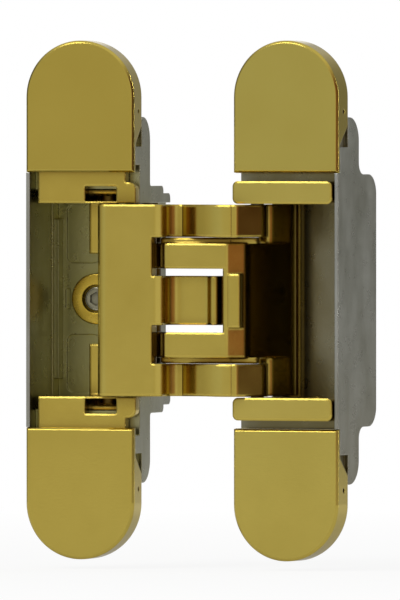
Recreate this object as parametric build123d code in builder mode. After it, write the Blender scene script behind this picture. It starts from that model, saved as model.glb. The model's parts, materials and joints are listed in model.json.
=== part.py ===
"""Concealed door hinge: two mortised leaves joined by a pair of crossing arms.

Millimetres, +Z up. The frame leaf's face centre is the origin, its face looks
along -Y and its depth runs along +Y. The door leaf stands to the right (+X),
drawn at the opening angle of the rest pose. Plan sizes of the arms are those of
the hinge opened flat (180 degrees); every piece is then placed by its own plane.
"""

import os
from math import acos, atan2, cos, degrees, hypot, radians, sin

from build123d import *

os.makedirs("parts", exist_ok=True)

# Leaf outline and body depths
LEAF_LENGTH = 110.0
LEAF_WIDTH = 24.0
FLANGE_DEPTH = 5.5
SHOULDER_DEPTH = 11.5
SHOULDER_HALF = 38.8
CORE_WALL = {"frame": 0.6, "door": 1.7}
BOSS_HEIGHT = 4.8
BOSS_HALF = 22.5
WALL_FRONT = 0.2
SHOULDER_ROUND = 5.0
CORE_ROUND = {"frame": 1.2, "door": 4.2}
CORE_FLARE = {"frame": 0.8, "door": 2.5}
BOSS_ROUND = 1.2

# Heights of the rows of fingers, measured from the middle
MIDDLE_ROW = 5.2
INNER_ROW = (6.75, 12.1)
OUTER_ROW = (13.4, 20.3)
WASHER_FIT = 0.08
LEDGE_FIT = 0.2

# Carriage heights, travels and fits
ROW_FIT = 0.2
CHEEK_THICK = 2.8
CHEEK_FIT = 0.2
CHEEK_WEB = 0.8
BLOCK_THICK = 4.8
SIDE_TRAVEL = 0.9
HEIGHT_TRAVEL = 1.5
PIN_RECESS = 0.2
ROLLER_RECESS = 0.5
ROLLER_FIT = 0.3

# Pocket that holds a carriage
POCKET_FLOOR = 0.7
POCKET_BACK_WALL = 0.8
POCKET_GAP_WALL = 1.0
POCKET_CORNER = 0.4
RECESS_FIT = 0.4
RECESS_FLOOR_FIT = 0.3

# Casting details on the frame pocket's floor and back wall
PAD_X = (-9.4, -2.0)
PAD_Z = (7.6, 20.0)
PAD_SINK = 0.5
PAD_ROUND = 1.5
MARK_X = (-9.7, -8.6)
MARK_HALF = 2.2
MARK_ROUND = 0.4
RAIL_WIDTH = 1.0
RAIL_HEIGHT = 3.0
RAIL_HALF = 17.0
GROOVE_Y = (13.0, 16.2)
GROOVE_SINK = 0.3

# Cover caps
COVER_PLATE = 1.2
COVER_SKIRT = 0.8
COVER_FIT = 0.1
COVER_CLEAR = 0.3
COVER_EDGE = 0.45
SKIRT_TAPER_START = 33.0
SKIRT_TAPER_END = 37.0
STEP_LAP = 0.5
CLIP_HOLE_Z = 40.0
CLIP_HOLE_R = 0.5

# Wood screw holes under the covers
SCREW_COVER_INSET = 6.5
SCREW_END_INSET = 8.0
SCREW_HOLE_R = 2.4
SCREW_HEAD_R = 4.4

# Linkage, in plan, opened flat
FACE_GAP = 24.0
CLOSED_GAP = 4.0
REST_FOLD = 6.0
OPEN_FLAT = 180.0
PIVOT_IN = 7.5
PIVOT_DEPTH = 15.0
CROSS = (15.0, 3.0)
FRAME_SLIDE = (4.2, 8.2)
DOOR_SLIDE_IN = 8.8
DOOR_SLIDE_Y = 4.2

# Pins, rollers and running clearances
PIVOT_PIN_R = 1.8
CROSS_PIN_R = 1.6
SLIDE_PIN_R = 1.4
ROLLER_R = 2.0
SPACER_R = 2.1
RUN_FIT = 0.03
SLOT_FIT = 0.15

# Frame arm, in plan
PLATE_LEFT = 4.9
PLATE_RIGHT = 19.9
PLATE_FRONT = -2.2
PLATE_BACK = 1.0
PLATE_ROUND = 2.2
PLATE_BACK_ROUND = 0.8
PLATE_CHAMFER = (1.5, 0.5)
NOTCH_X = 17.7
BARREL_R = 2.5
HUB_R = 2.8
FINGER_FLOOR = 2.4
FINGER_BACK = 5.8
FINGER_ROOT = 1.0
SCOOP_ROUND = 2.6
RISE_ROUND = 2.6
LAND_LENGTH = 4.1
RISE_RUN = 4.3
LAND_FRONT = -1.8
TIP_SETBACK = 2.9
TIP_R = 0.8
TIP_HUB_R = 2.2
MIDDLE_RIM = (3.1, 1.8, 0.7)
MIDDLE_RIM_HEIGHT = 1.0
MIDDLE_GAP = 1.3
MIDDLE_DROP = 0.6
MIDDLE_ROUND = 0.6

# Door arm, in plan
BLADE_LEFT = 19.6
BLADE_FRONT = -0.6
BLADE_BACK = 4.0
BLADE_ROUND = 0.7
BAR_SETBACK = 1.0
BAR_WIDTH = 5.2
BAR_SLOPE_START = 1.2
BAR_SLOPE_END = (0.9, 1.8)
BAR_BACK = 6.2
BAR_ROUND = 0.8
BAR_TOE = 2.0
NOSE_INSET = 1.4
NOSE_SETBACK = 1.2
NOSE_FIT = 0.5
LEDGE_LEFT = 18.4
LEDGE_FRONT = 1.6
SLIDE_HUB_R = 2.3
DOOR_BARREL_R = 3.3
LEG_R = 2.1
LEG_OFFSET = 0.3
LEG_WEB_SHARE = 0.68
ARM_FIT = 0.35

# Carriages, in plan
CHEEK_BACK_FIT = 1.9
CHEEK_GAP_FIT = 1.0
BASE_FIT = 0.1
BARREL_CLEAR = 0.8
BASE_THICK = 1.0
BASE_BACK_X = 4.0
BASE_SPINE_X = 1.5
BASE_END_Z = 9.6
TONGUE_X = 5.2
TONGUE_HALF = 3.6
FLANGE_BACK_FIT = 1.5
FLANGE_FRONT = 1.4
FLANGE_BACK = 4.0
FLANGE_LAP = 1.2
FLANGE_NOTCH = (2.3, 3.3)
FLANGE_ROUND = 1.6
WINDOW = (0.7, 7.7)
WINDOW_HEIGHT = 3.2
BLOCK_FRONT = -0.3
BLOCK_BACK = 3.4
BLOCK_FAR_FIT = 0.4
BLOCK_CORNER = 1.2
DOOR_CHEEK_GAP_FIT = 0.2
DOOR_BASE_FAR_X = 4.8

# Clamp and adjusting screws
CLAMP_X = -2.0
CLAMP_SEAT_GAP = 0.05
CLAMP_COLLAR_R = 5.4
CLAMP_COLLAR = 1.9
CLAMP_BORE_R = 2.95
CLAMP_BORE = 1.3
CLAMP_HEAD_R = 2.6
CLAMP_HEAD = 1.1
CLAMP_SHANK_R = 1.6
CLAMP_SLOT_FIT = 0.2
CLAMP_BITE = 2.0
CLAMP_TIP_GAP = 0.4
CLAMP_HEX = 1.5
CLAMP_HEX_DEPTH = 0.8
ADJUST_R = 2.0
ADJUST_X = 6.0
ADJUST_Y = 8.0
ADJUST_LENGTH = 5.0
ADJUST_TIP_GAP = 0.5

# How far a cut runs past the face it opens
PAST = 1.0
# How near an edge lies to the depth it is looked up by
TOUCH = 0.01

# Derived heights: rows, then cheeks, then pockets, then covers
CHEEK_INNER = OUTER_ROW[1] + ROW_FIT
CHEEK_OUTER = CHEEK_INNER + CHEEK_THICK
BLOCK_OUTER = CHEEK_INNER + BLOCK_THICK
SLOT_END = CHEEK_OUTER - CHEEK_WEB
PIN_END = SLOT_END - PIN_RECESS
ROLLER_START = CHEEK_INNER + ROLLER_FIT
ROLLER_END = SLOT_END - ROLLER_RECESS
POCKET_HALF = {"frame": CHEEK_OUTER + CHEEK_FIT, "door": CHEEK_OUTER + HEIGHT_TRAVEL + CHEEK_FIT}
CORE_HALF = {side: half + CORE_WALL[side] for side, half in POCKET_HALF.items()}
COVER_INNER = BLOCK_OUTER + HEIGHT_TRAVEL + COVER_CLEAR
FLANGE_OUTER = COVER_INNER + FLANGE_LAP
RECESS_HALF = {"frame": FLANGE_OUTER + RECESS_FIT, "door": BLOCK_OUTER + HEIGHT_TRAVEL + CHEEK_FIT}

SCREW_HOLE_Z = (COVER_INNER + SCREW_COVER_INSET, LEAF_LENGTH / 2 - SCREW_END_INSET)

# Derived depths: carriage bases under the barrels, then pocket floor, then back faces
BASE_TOP = PIVOT_DEPTH + DOOR_BARREL_R + BARREL_CLEAR
BASE_BOTTOM = BASE_TOP + BASE_THICK
POCKET_DEPTH = BASE_BOTTOM + BASE_FIT
CORE_DEPTH = POCKET_DEPTH + POCKET_FLOOR
BODY_BACK = {"frame": CORE_DEPTH + BOSS_HEIGHT, "door": CORE_DEPTH}

# Derived widths: the carriages stand between the pocket walls
POCKET_FAR_X = LEAF_WIDTH / 2 - POCKET_BACK_WALL
POCKET_NEAR_X = LEAF_WIDTH / 2 - POCKET_GAP_WALL
CHEEK_BACK_X = POCKET_FAR_X - CHEEK_BACK_FIT
CHEEK_GAP_X = POCKET_NEAR_X - CHEEK_GAP_FIT
FLANGE_BACK_X = POCKET_FAR_X - FLANGE_BACK_FIT
BLOCK_FAR_X = POCKET_FAR_X - BLOCK_FAR_FIT
DOOR_CHEEK_GAP_X = POCKET_NEAR_X - DOOR_CHEEK_GAP_FIT

# Derived plan places: the door side of the arms is tied to the door leaf
PITCH = LEAF_WIDTH + FACE_GAP
DOOR_SLIDE = (PITCH - DOOR_SLIDE_IN, DOOR_SLIDE_Y)
TIP = (DOOR_SLIDE[0] - TIP_SETBACK, LAND_FRONT + TIP_R)
BAR_RIGHT = DOOR_SLIDE[0] - BAR_SETBACK
BAR_LEFT = BAR_RIGHT - BAR_WIDTH
BLADE_RIGHT = BAR_LEFT + BAR_SLOPE_START
MIDDLE_TIP = BAR_LEFT - MIDDLE_GAP
LAND_LEFT = TIP[0] - LAND_LENGTH
SCOOP_RIGHT = LAND_LEFT - RISE_RUN

# Kinematics: both arm pivots keep their radii to the crossing pin, so the
# closed place of that pin is where two circles meet
FRAME_PIVOT = (PIVOT_IN, PIVOT_DEPTH)
DOOR_PIVOT = (PITCH - PIVOT_IN, PIVOT_DEPTH)


def turned(point, centre, angle):
    """Return a plan point turned about a centre, angle in degrees."""
    dx = point[0] - centre[0]
    dy = point[1] - centre[1]
    c = cos(radians(angle))
    s = sin(radians(angle))
    return (centre[0] + dx * c - dy * s, centre[1] + dx * s + dy * c)


def bearing(start, end):
    """Return the plan direction from one point to another, in degrees."""
    return degrees(atan2(end[1] - start[1], end[0] - start[0]))


ARM_A_RADIUS = hypot(CROSS[0] - FRAME_PIVOT[0], CROSS[1] - FRAME_PIVOT[1])
ARM_B_RADIUS = hypot(CROSS[0] - DOOR_PIVOT[0], CROSS[1] - DOOR_PIVOT[1])
CLOSED_DISTANCE = 2 * PIVOT_DEPTH + CLOSED_GAP
CLOSED_CORNER = degrees(
    acos(
        (ARM_A_RADIUS**2 + CLOSED_DISTANCE**2 - ARM_B_RADIUS**2)
        / (2 * ARM_A_RADIUS * CLOSED_DISTANCE)
    )
)
DOOR_PIVOT_CLOSED = (PIVOT_IN, -CLOSED_GAP - PIVOT_DEPTH)
ARM_A_TURN = bearing(FRAME_PIVOT, DOOR_PIVOT_CLOSED) - CLOSED_CORNER - bearing(FRAME_PIVOT, CROSS)
CROSS_CLOSED = turned(CROSS, FRAME_PIVOT, ARM_A_TURN)
ARM_B_TURN = bearing(CROSS_CLOSED, DOOR_PIVOT_CLOSED) - bearing(CROSS, DOOR_PIVOT)


def cross_at(share):
    """Return the crossing pin's place when the hinge is closed by a share."""
    return turned(CROSS, FRAME_PIVOT, share * ARM_A_TURN)


def on_arm_b(point, share):
    """Return a point of the door arm when the hinge is closed by a share."""
    centre = cross_at(share)
    x = point[0] - CROSS[0] + centre[0]
    y = point[1] - CROSS[1] + centre[1]
    return turned((x, y), centre, share * ARM_B_TURN)


def on_door(point, share):
    """Return a point of the door leaf when the hinge is closed by a share."""
    pivot = on_arm_b(DOOR_PIVOT, share)
    x = point[0] - DOOR_PIVOT[0] + pivot[0]
    y = point[1] - DOOR_PIVOT[1] + pivot[1]
    return turned((x, y), pivot, -OPEN_FLAT * share)


def seen_from_door(point, share):
    """Return a frame arm point in the door leaf's own plan axes."""
    place = turned(point, FRAME_PIVOT, share * ARM_A_TURN)
    centre = on_door((PITCH, 0), share)
    x, y = turned(place, centre, OPEN_FLAT * share)
    return (x - centre[0], y - centre[1])


SHARES = (0, 0.5, 1)
FRAME_SLOT = [on_arm_b(FRAME_SLIDE, share) for share in SHARES]
DOOR_SLOT = [seen_from_door(DOOR_SLIDE, share) for share in SHARES]


# Plan planes of the four bodies in the rest pose
def plan_plane(origin, angle):
    """Return a plan plane at an origin, turned about the vertical."""
    x_dir = (cos(radians(angle)), sin(radians(angle)), 0)
    return Plane(origin=(origin[0], origin[1], 0), x_dir=x_dir, z_dir=(0, 0, 1))


REST = REST_FOLD / OPEN_FLAT
FRAME_LEAF = plan_plane((0, 0), 0)
DOOR_LEAF = plan_plane(on_door((PITCH, 0), REST), -REST_FOLD)
ARM_A = plan_plane(turned((0, 0), FRAME_PIVOT, REST * ARM_A_TURN), REST * ARM_A_TURN)
ARM_B = plan_plane(on_arm_b((0, 0), REST), REST * ARM_B_TURN)
GAP_SIDE = {"frame": 1, "door": -1}
LEAVES = {"frame": FRAME_LEAF, "door": DOOR_LEAF}
ENDS = {"top": 1, "bottom": -1}


def face_plane(leaf, depth):
    """Return a plane parallel to a leaf's face, looking out of it."""
    origin = leaf.from_local_coords((0, depth, 0))
    return Plane(origin=origin, x_dir=leaf.x_dir, z_dir=leaf.y_dir * -1)


def side_plane(leaf):
    """Return a leaf's middle plane: depth to the right, +Z up."""
    return Plane(origin=leaf.origin, x_dir=leaf.y_dir, z_dir=leaf.x_dir)


def span(low, high):
    """Return the middle and the length of an interval."""
    return (low + high) / 2, high - low


def box(x_range, y_range, corner=0.0, mode=Mode.ADD):
    """Draw a rectangle from its two intervals, with round corners if asked."""
    x_mid, x_size = span(*sorted(x_range))
    y_mid, y_size = span(*sorted(y_range))
    with Locations((x_mid, y_mid)):
        if corner:
            RectangleRounded(x_size, y_size, corner, mode=mode)
        else:
            Rectangle(x_size, y_size, mode=mode)


def edges_across(body, leaf, depth, half):
    """Return the edges that run across a leaf at one depth and one height above and below."""
    found = []
    for edge in body.edges().filter_by(Axis(leaf.origin, leaf.x_dir)):
        middle = leaf.to_local_coords(edge.center())
        if abs(middle.Y - depth) < TOUCH and abs(abs(middle.Z) - half) < TOUCH:
            found.append(edge)
    return found


# Leaf bodies
def make_body(side):
    """Build a cast leaf body: rounded flange, shoulder block, core and pocket."""
    leaf = LEAVES[side]
    gap = GAP_SIDE[side]
    half = LEAF_LENGTH / 2
    middle = COVER_INNER - COVER_FIT
    front = COVER_PLATE + COVER_FIT
    far = -gap * POCKET_FAR_X
    near = gap * POCKET_NEAR_X
    past_edge = gap * (LEAF_WIDTH / 2 + PAST)
    pocket_half = POCKET_HALF[side]
    core_half = CORE_HALF[side]
    with BuildPart() as body:
        with BuildSketch(side_plane(leaf)):
            box((front, FLANGE_DEPTH), (-half, half))
            box((WALL_FRONT, FLANGE_DEPTH), (-middle, middle))
            box((FLANGE_DEPTH, SHOULDER_DEPTH), (-SHOULDER_HALF, SHOULDER_HALF))
            box((SHOULDER_DEPTH, CORE_DEPTH), (-core_half, core_half))
        extrude(amount=LEAF_WIDTH / 2, both=True)
        fillet(edges_across(body, leaf, CORE_DEPTH, core_half), CORE_ROUND[side])
        fillet(edges_across(body, leaf, SHOULDER_DEPTH, core_half), CORE_FLARE[side])
        fillet(edges_across(body, leaf, SHOULDER_DEPTH, SHOULDER_HALF), SHOULDER_ROUND)
        if side == "frame":
            # Boss on the back of the core
            with BuildSketch(side_plane(leaf)):
                box((SHOULDER_DEPTH, BODY_BACK[side]), (-BOSS_HALF, BOSS_HALF))
            extrude(amount=LEAF_WIDTH / 2, both=True)
            fillet(edges_across(body, leaf, BODY_BACK[side], BOSS_HALF), BOSS_ROUND)
        with BuildSketch(face_plane(leaf, 0)):
            SlotOverall(LEAF_LENGTH, LEAF_WIDTH, rotation=90)
        extrude(amount=-BODY_BACK[side], mode=Mode.INTERSECT)
        # Step that the cover's skirt drops over
        inset = COVER_SKIRT + COVER_FIT
        with BuildSketch(face_plane(leaf, 0)):
            SlotOverall(LEAF_LENGTH, LEAF_WIDTH, rotation=90)
            SlotOverall(
                LEAF_LENGTH - 2 * inset, LEAF_WIDTH - 2 * inset, rotation=90, mode=Mode.SUBTRACT
            )
            Rectangle(LEAF_WIDTH, 2 * (SKIRT_TAPER_START - STEP_LAP), mode=Mode.SUBTRACT)
        extrude(amount=-(FLANGE_DEPTH + COVER_FIT), mode=Mode.SUBTRACT)
        # Pocket, open to the front
        with BuildSketch(face_plane(leaf, 0)):
            box((far, near), (-pocket_half, pocket_half), POCKET_CORNER)
        extrude(amount=-POCKET_DEPTH, mode=Mode.SUBTRACT)
        # Front recess for the carriage flanges, open on the gap side
        with BuildSketch(face_plane(leaf, 0)):
            box((far, past_edge), (-RECESS_HALF[side], RECESS_HALF[side]))
        extrude(amount=-(FLANGE_BACK + RECESS_FLOOR_FIT), mode=Mode.SUBTRACT)
        # The gap-side wall is left out where the arms swing through
        open_half = CHEEK_INNER + (HEIGHT_TRAVEL if side == "door" else 0)
        with BuildSketch(face_plane(leaf, 0)):
            box((near, past_edge), (-open_half, open_half))
        extrude(amount=-BODY_BACK[side], mode=Mode.SUBTRACT)
        # Countersunk fixing holes, hidden by the covers
        for z in SCREW_HOLE_Z:
            for end in ENDS.values():
                with Locations(face_plane(leaf, front)):
                    with Locations((0, end * z)):
                        CounterSinkHole(SCREW_HOLE_R, SCREW_HEAD_R, depth=2 * CORE_DEPTH)
        if side == "door":
            # Bores of the two height screws
            for end in ENDS.values():
                with BuildSketch(leaf.offset(end * (pocket_half - PAST))):
                    with Locations((ADJUST_X, ADJUST_Y)):
                        Circle(ADJUST_R + RUN_FIT)
                extrude(amount=end * (PAST + ADJUST_LENGTH + ADJUST_TIP_GAP), mode=Mode.SUBTRACT)
        if side == "frame":
            # Sunken pads and a stop mark on the pocket floor, and the clamp's hole
            with BuildSketch(face_plane(leaf, POCKET_DEPTH)):
                for end in ENDS.values():
                    box(PAD_X, (end * PAD_Z[0], end * PAD_Z[1]), PAD_ROUND)
                box(MARK_X, (-MARK_HALF, MARK_HALF), MARK_ROUND)
            extrude(amount=-PAD_SINK, mode=Mode.SUBTRACT)
            with BuildSketch(face_plane(leaf, POCKET_DEPTH)):
                with Locations((CLAMP_X, 0)):
                    Circle(CLAMP_SHANK_R + RUN_FIT)
            extrude(amount=-(CLAMP_BITE + CLAMP_TIP_GAP), mode=Mode.SUBTRACT)
            # Rail at the foot of the back wall, and the groove above it
            with BuildSketch(leaf.offset(-RAIL_HALF)):
                box((far, far + RAIL_WIDTH), (POCKET_DEPTH - RAIL_HEIGHT, POCKET_DEPTH))
            extrude(amount=2 * RAIL_HALF)
            with BuildSketch(leaf.offset(-CHEEK_INNER)):
                box((far - GROOVE_SINK, far), GROOVE_Y)
            extrude(amount=2 * CHEEK_INNER, mode=Mode.SUBTRACT)
    return body.part


# Cover caps
def make_cover(side, end):
    """Build a clip-on cap: front plate, skirt round the end, tapered side skirts."""
    leaf = LEAVES[side]
    sign = ENDS[end]
    half = LEAF_LENGTH / 2
    past_back = FLANGE_DEPTH + COVER_FIT
    with BuildPart() as cover:
        with BuildSketch(face_plane(leaf, 0)):
            SlotOverall(LEAF_LENGTH, LEAF_WIDTH, rotation=90)
            with Locations((0, sign * span(COVER_INNER, half)[0])):
                Rectangle(LEAF_WIDTH, half - COVER_INNER, mode=Mode.INTERSECT)
        extrude(amount=-FLANGE_DEPTH)
        fronts = cover.faces().sort_by(Axis(leaf.origin, leaf.y_dir))[0]
        chamfer(fronts.edges(), COVER_EDGE)
        with BuildSketch(face_plane(leaf, COVER_PLATE)):
            SlotOverall(LEAF_LENGTH - 2 * COVER_SKIRT, LEAF_WIDTH - 2 * COVER_SKIRT, rotation=90)
        extrude(amount=-FLANGE_DEPTH, mode=Mode.SUBTRACT)
        with BuildSketch(side_plane(leaf)):
            with BuildLine():
                Polyline(
                    (COVER_PLATE, sign * (COVER_INNER - PAST)),
                    (COVER_PLATE, sign * SKIRT_TAPER_START),
                    (past_back, sign * SKIRT_TAPER_END),
                    (past_back, sign * (COVER_INNER - PAST)),
                    close=True,
                )
            make_face()
        extrude(amount=LEAF_WIDTH, both=True, mode=Mode.SUBTRACT)
        with BuildSketch(side_plane(leaf)):
            with Locations((span(COVER_PLATE, FLANGE_DEPTH)[0], sign * CLIP_HOLE_Z)):
                Circle(CLIP_HOLE_R)
        extrude(amount=LEAF_WIDTH, both=True, mode=Mode.SUBTRACT)
    return cover.part


for side_name in LEAVES:
    piece = make_body(side_name)
    piece.label = side_name + "_body"
    export_step(piece, "parts/" + side_name + "_body.step")
    for end_name in ENDS:
        piece = make_cover(side_name, end_name)
        piece.label = side_name + "_cover_" + end_name
        export_step(piece, "parts/" + side_name + "_cover_" + end_name + ".step")


def slot_sketch(points):
    """Draw a curved roller slot through three plan points."""
    with BuildLine():
        arc = ThreePointArc(*points)
    SlotArc(arc, 2 * (ROLLER_R + SLOT_FIT))


def link(start, start_r, end, end_r):
    """Draw a plan link: two round ends joined by their tangents."""
    with BuildSketch(mode=Mode.PRIVATE) as outline:
        with Locations(start):
            Circle(start_r)
        with Locations(end):
            Circle(end_r)
        make_hull()
    add(outline.sketch)


def disc(point, radius, mode=Mode.ADD):
    """Draw a plan circle."""
    with Locations(point):
        Circle(radius, mode=mode)


def outline_of(points, rounds=()):
    """Draw a closed plan outline; rounds lists its round corners and their radii."""
    with BuildSketch(mode=Mode.PRIVATE) as outline:
        Polygon(*points, align=None)
        for corner, radius in rounds:
            fillet(outline.vertices().sort_by_distance(corner)[0], radius)
    add(outline.sketch)


def cut_rows(plane, rows):
    """Return the sketch plane and the signed length of a row above and below the middle."""
    return [(plane.offset(end * rows[0]), end * (rows[1] - rows[0])) for end in ENDS.values()]


# Carriage of the frame leaf: two cheeks with flanges on a base plate
BORE_ROW = (CHEEK_INNER - PAST, SLOT_END)
HUB_DIP_X = FRAME_SLOT[-1][0]
HUB_DIP_R = SLIDE_HUB_R + ARM_FIT
with BuildPart() as frame_carriage:
    for end in ENDS.values():
        with BuildSketch(face_plane(FRAME_LEAF, FLANGE_FRONT)):
            box((-FLANGE_BACK_X, LEAF_WIDTH / 2), (end * CHEEK_INNER, end * FLANGE_OUTER))
            notch = (LEAF_WIDTH / 2 - FLANGE_NOTCH[0], FLANGE_OUTER - FLANGE_NOTCH[1])
            past_corner = (LEAF_WIDTH / 2 + PAST, FLANGE_OUTER + PAST)
            box(
                (notch[0], past_corner[0]),
                (end * notch[1], end * past_corner[1]),
                mode=Mode.SUBTRACT,
            )
        extrude(amount=-(FLANGE_BACK - FLANGE_FRONT))
        toe = frame_carriage.edges().filter_by(Axis.Y)
        fillet(toe.sort_by_distance((LEAF_WIDTH / 2, FLANGE_FRONT, end * notch[1]))[0], FLANGE_ROUND)
    for plane, length in cut_rows(FRAME_LEAF, (CHEEK_INNER, CHEEK_OUTER)):
        with BuildSketch(plane):
            box((-CHEEK_BACK_X, CHEEK_GAP_X), (FLANGE_FRONT, BASE_BOTTOM))
        extrude(amount=length)
    with BuildSketch(face_plane(FRAME_LEAF, BASE_TOP)):
        box((BASE_SPINE_X, CHEEK_GAP_X), (-CHEEK_OUTER, CHEEK_OUTER))
        for end in ENDS.values():
            box((-BASE_BACK_X, CHEEK_GAP_X), (end * BASE_END_Z, end * CHEEK_OUTER))
        box((-TONGUE_X, CHEEK_GAP_X), (-TONGUE_HALF, TONGUE_HALF))
        # Windows that the door arm's hubs dip into when the hinge is shut
        for end in ENDS.values():
            box(
                (HUB_DIP_X - HUB_DIP_R, HUB_DIP_X + HUB_DIP_R),
                (end * (INNER_ROW[0] - ROW_FIT), end * CHEEK_INNER),
                mode=Mode.SUBTRACT,
            )
        with Locations((CLAMP_X, 0)):
            SlotCenterToCenter(
                2 * SIDE_TRAVEL, 2 * (CLAMP_SHANK_R + CLAMP_SLOT_FIT), mode=Mode.SUBTRACT
            )
    extrude(amount=-(BASE_BOTTOM - BASE_TOP))
    for plane, length in cut_rows(FRAME_LEAF, BORE_ROW):
        with BuildSketch(plane):
            slot_sketch(FRAME_SLOT)
        extrude(amount=length, mode=Mode.SUBTRACT)
        with BuildSketch(plane):
            disc(FRAME_PIVOT, PIVOT_PIN_R + RUN_FIT)
        extrude(amount=length, mode=Mode.SUBTRACT)
    # Windows in the flanges, and behind them the open fronts of the roller slots
    sill = CHEEK_INNER + RECESS_FIT
    for head, back in ((sill + WINDOW_HEIGHT, FLANGE_BACK), (SLOT_END, FRAME_SLIDE[1])):
        with BuildSketch(face_plane(FRAME_LEAF, FLANGE_FRONT)):
            for end in ENDS.values():
                box(WINDOW, (end * sill, end * head))
        extrude(amount=-(back - FLANGE_FRONT), mode=Mode.SUBTRACT)
frame_carriage.part.label = "frame_carriage"
export_step(frame_carriage.part, "parts/frame_carriage.step")

# Carriage of the door leaf: two blocks with cheeks on a base strip
with BuildPart() as door_carriage:
    with BuildSketch(face_plane(DOOR_LEAF, BLOCK_FRONT)):
        for end in ENDS.values():
            box(
                (-LEAF_WIDTH / 2, BLOCK_FAR_X),
                (end * CHEEK_INNER, end * BLOCK_OUTER),
                BLOCK_CORNER,
            )
    extrude(amount=-(BLOCK_BACK - BLOCK_FRONT))
    for plane, length in cut_rows(DOOR_LEAF, (CHEEK_INNER, CHEEK_OUTER)):
        with BuildSketch(plane):
            box((-DOOR_CHEEK_GAP_X, BLOCK_FAR_X), (BLOCK_BACK, BASE_BOTTOM))
        extrude(amount=length)
    with BuildSketch(face_plane(DOOR_LEAF, BASE_TOP)):
        box((-DOOR_CHEEK_GAP_X, -DOOR_BASE_FAR_X), (-CHEEK_OUTER, CHEEK_OUTER))
    extrude(amount=-(BASE_BOTTOM - BASE_TOP))
    for plane, length in cut_rows(DOOR_LEAF, BORE_ROW):
        with BuildSketch(plane):
            slot_sketch(DOOR_SLOT)
            disc((-PIVOT_IN, PIVOT_DEPTH), PIVOT_PIN_R + RUN_FIT)
        extrude(amount=length, mode=Mode.SUBTRACT)
door_carriage.part.label = "door_carriage"
export_step(door_carriage.part, "parts/door_carriage.step")

# Frame arm: front plate, two outer legs with scooped fingers and a middle finger
PLATE = [
    (PLATE_LEFT, PLATE_BACK),
    (PLATE_LEFT, PLATE_FRONT),
    (PLATE_RIGHT - PLATE_CHAMFER[0], PLATE_FRONT),
    (PLATE_RIGHT, PLATE_FRONT + PLATE_CHAMFER[1]),
    (PLATE_RIGHT, PLATE_BACK),
]
PLATE_ROUNDS = [(PLATE[0], PLATE_BACK_ROUND), (PLATE[1], PLATE_ROUND)]
SCOOP = [
    (CROSS[0], FINGER_BACK),
    (CROSS[0], PLATE_FRONT + FINGER_ROOT),
    (PLATE_RIGHT, PLATE_FRONT + FINGER_ROOT),
    (PLATE_RIGHT, FINGER_FLOOR),
]
OUTER_FINGER = SCOOP + [
    (SCOOP_RIGHT, FINGER_FLOOR),
    (LAND_LEFT, LAND_FRONT),
    (TIP[0], LAND_FRONT),
    DOOR_SLIDE,
    (DOOR_SLIDE[0], DOOR_SLIDE[1] + TIP_HUB_R),
    (MIDDLE_TIP, FINGER_BACK),
]
OUTER_ROUNDS = [
    (SCOOP[3], SCOOP_ROUND),
    ((SCOOP_RIGHT, FINGER_FLOOR), RISE_ROUND),
    ((LAND_LEFT, LAND_FRONT), RISE_ROUND),
]
RIM = [MIDDLE_TIP - setback for setback in MIDDLE_RIM]
RIM_FRONT = FINGER_FLOOR - MIDDLE_RIM_HEIGHT
MIDDLE_FINGER = SCOOP + [
    (RIM[0], FINGER_FLOOR),
    (RIM[1], RIM_FRONT),
    (RIM[2], RIM_FRONT),
    (MIDDLE_TIP, FINGER_FLOOR + MIDDLE_DROP),
    (MIDDLE_TIP, FINGER_BACK),
]
MIDDLE_ROUNDS = [(SCOOP[3], SCOOP_ROUND)] + [(corner, MIDDLE_ROUND) for corner in MIDDLE_FINGER[4:7]]
with BuildPart() as frame_arm:
    with BuildSketch(ARM_A):
        outline_of(PLATE, PLATE_ROUNDS)
    extrude(amount=OUTER_ROW[1], both=True)
    for plane, length in cut_rows(ARM_A, OUTER_ROW):
        with BuildSketch(plane):
            link(FRAME_PIVOT, BARREL_R, CROSS, HUB_R)
            outline_of(OUTER_FINGER, OUTER_ROUNDS)
            link(TIP, TIP_R, DOOR_SLIDE, TIP_HUB_R)
        extrude(amount=length)
    with BuildSketch(ARM_A):
        disc(CROSS, HUB_R)
        outline_of(MIDDLE_FINGER, MIDDLE_ROUNDS)
    extrude(amount=MIDDLE_ROW, both=True)
    for plane, length in cut_rows(ARM_A, (MIDDLE_ROW, OUTER_ROW[0])):
        with BuildSketch(plane):
            link(CROSS, HUB_R + ARM_FIT, FRAME_SLIDE, SLIDE_HUB_R + ARM_FIT)
            box((NOTCH_X, PLATE_RIGHT + PAST), (PLATE_FRONT - PAST, CROSS[1]))
        extrude(amount=length, mode=Mode.SUBTRACT)
    with BuildSketch(ARM_A):
        disc(FRAME_PIVOT, PIVOT_PIN_R + RUN_FIT)
        disc(CROSS, CROSS_PIN_R + RUN_FIT)
        disc(DOOR_SLIDE, SLIDE_PIN_R + RUN_FIT)
    extrude(amount=OUTER_ROW[1], both=True, mode=Mode.SUBTRACT)
frame_arm.part.label = "frame_arm"
export_step(frame_arm.part, "parts/frame_arm.step")

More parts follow.
